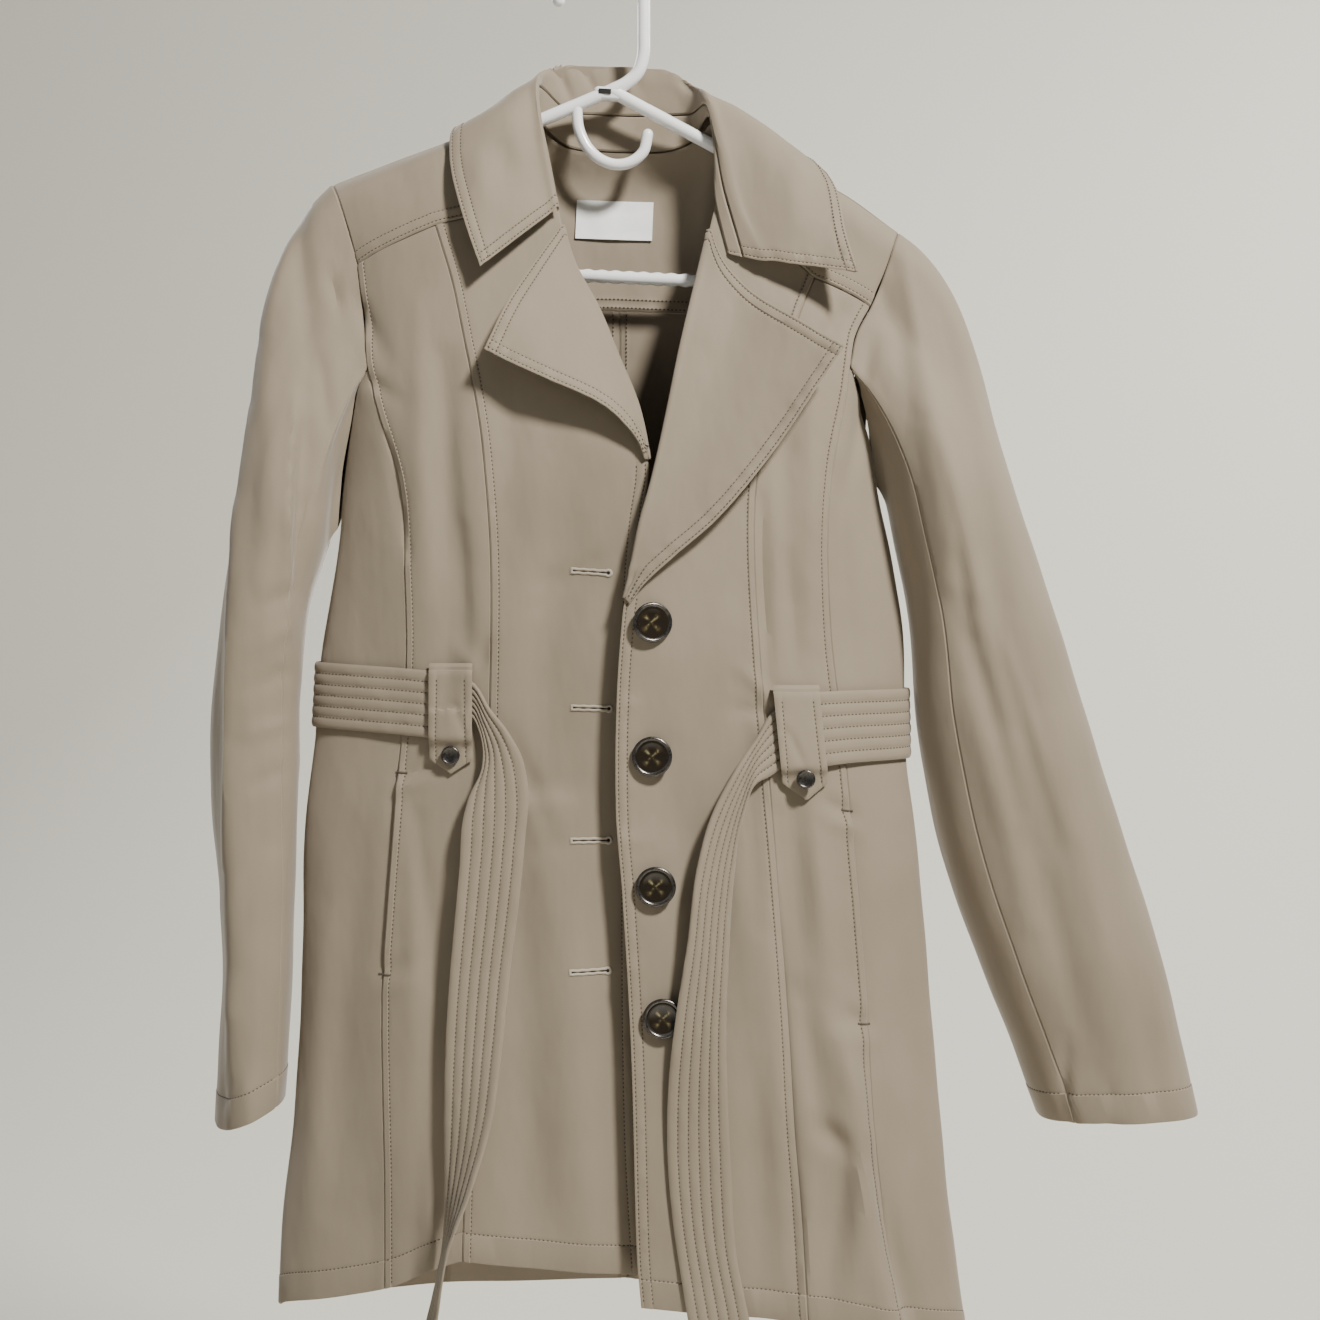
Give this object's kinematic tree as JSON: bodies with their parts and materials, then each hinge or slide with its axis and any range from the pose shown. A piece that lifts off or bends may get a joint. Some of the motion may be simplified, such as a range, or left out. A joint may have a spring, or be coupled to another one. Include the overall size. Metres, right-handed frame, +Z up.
{
  "type": "trench coat on hanger and wall hook",
  "caption": "Open single-breasted softshell trench coat with notched lapels, quilted tie belt and yokes, hanging on a tubular hanger from a wall hook.",
  "frame": {"origin": "centre of the wall plate's flat back face, on the wall", "axes": "+Z up, -Y out of the wall towards the viewer, +X towards the coat's left sleeve"},
  "size_m": [0.7161, 0.1495, 1.0336],
  "materials": {
    "shell_cloth": "smooth matte beige softshell with a faint sheen and tonal stitching",
    "label_tape": "bare white woven tape",
    "stud_metal": "dark gunmetal, satin",
    "button_plastic": "polished brown tortoiseshell with a dark metal rim",
    "hanger_plastic": "glossy white moulded plastic",
    "hook_metal": "plain satin steel"
  },
  "bodies": {
    "root": {"front_centre_right": "shell_cloth", "front_middle_right": "shell_cloth", "front_side_right": "shell_cloth", "back_side_right": "shell_cloth", "back_centre_right": "shell_cloth", "back_centre_left": "shell_cloth", "back_side_left": "shell_cloth", "front_side_left": "shell_cloth", "front_middle_left": "shell_cloth", "front_centre_left": "shell_cloth", "yoke_right": "shell_cloth", "yoke_left": "shell_cloth", "yoke_back": "shell_cloth", "label": "label_tape", "lapel_right": "shell_cloth", "lapel_left": "shell_cloth", "collar_stand": "shell_cloth", "collar_leaf": "shell_cloth", "sleeve_top_right": "shell_cloth", "sleeve_under_right": "shell_cloth", "sleeve_top_left": "shell_cloth", "sleeve_under_left": "shell_cloth", "belt_waist": "shell_cloth", "belt_end_right": "shell_cloth", "belt_end_left": "shell_cloth", "belt_carrier_right": "shell_cloth", "belt_carrier_left": "shell_cloth", "carrier_stud_right": "stud_metal", "carrier_stud_left": "stud_metal", "button_1": "button_plastic", "button_2": "button_plastic", "button_3": "button_plastic", "button_4": "button_plastic", "hanger_top": "hanger_plastic", "hanger_arm_right": "hanger_plastic", "hanger_arm_left": "hanger_plastic", "hanger_bar": "hanger_plastic", "wall_hook": "hook_metal"}
  },
  "joints": []
}
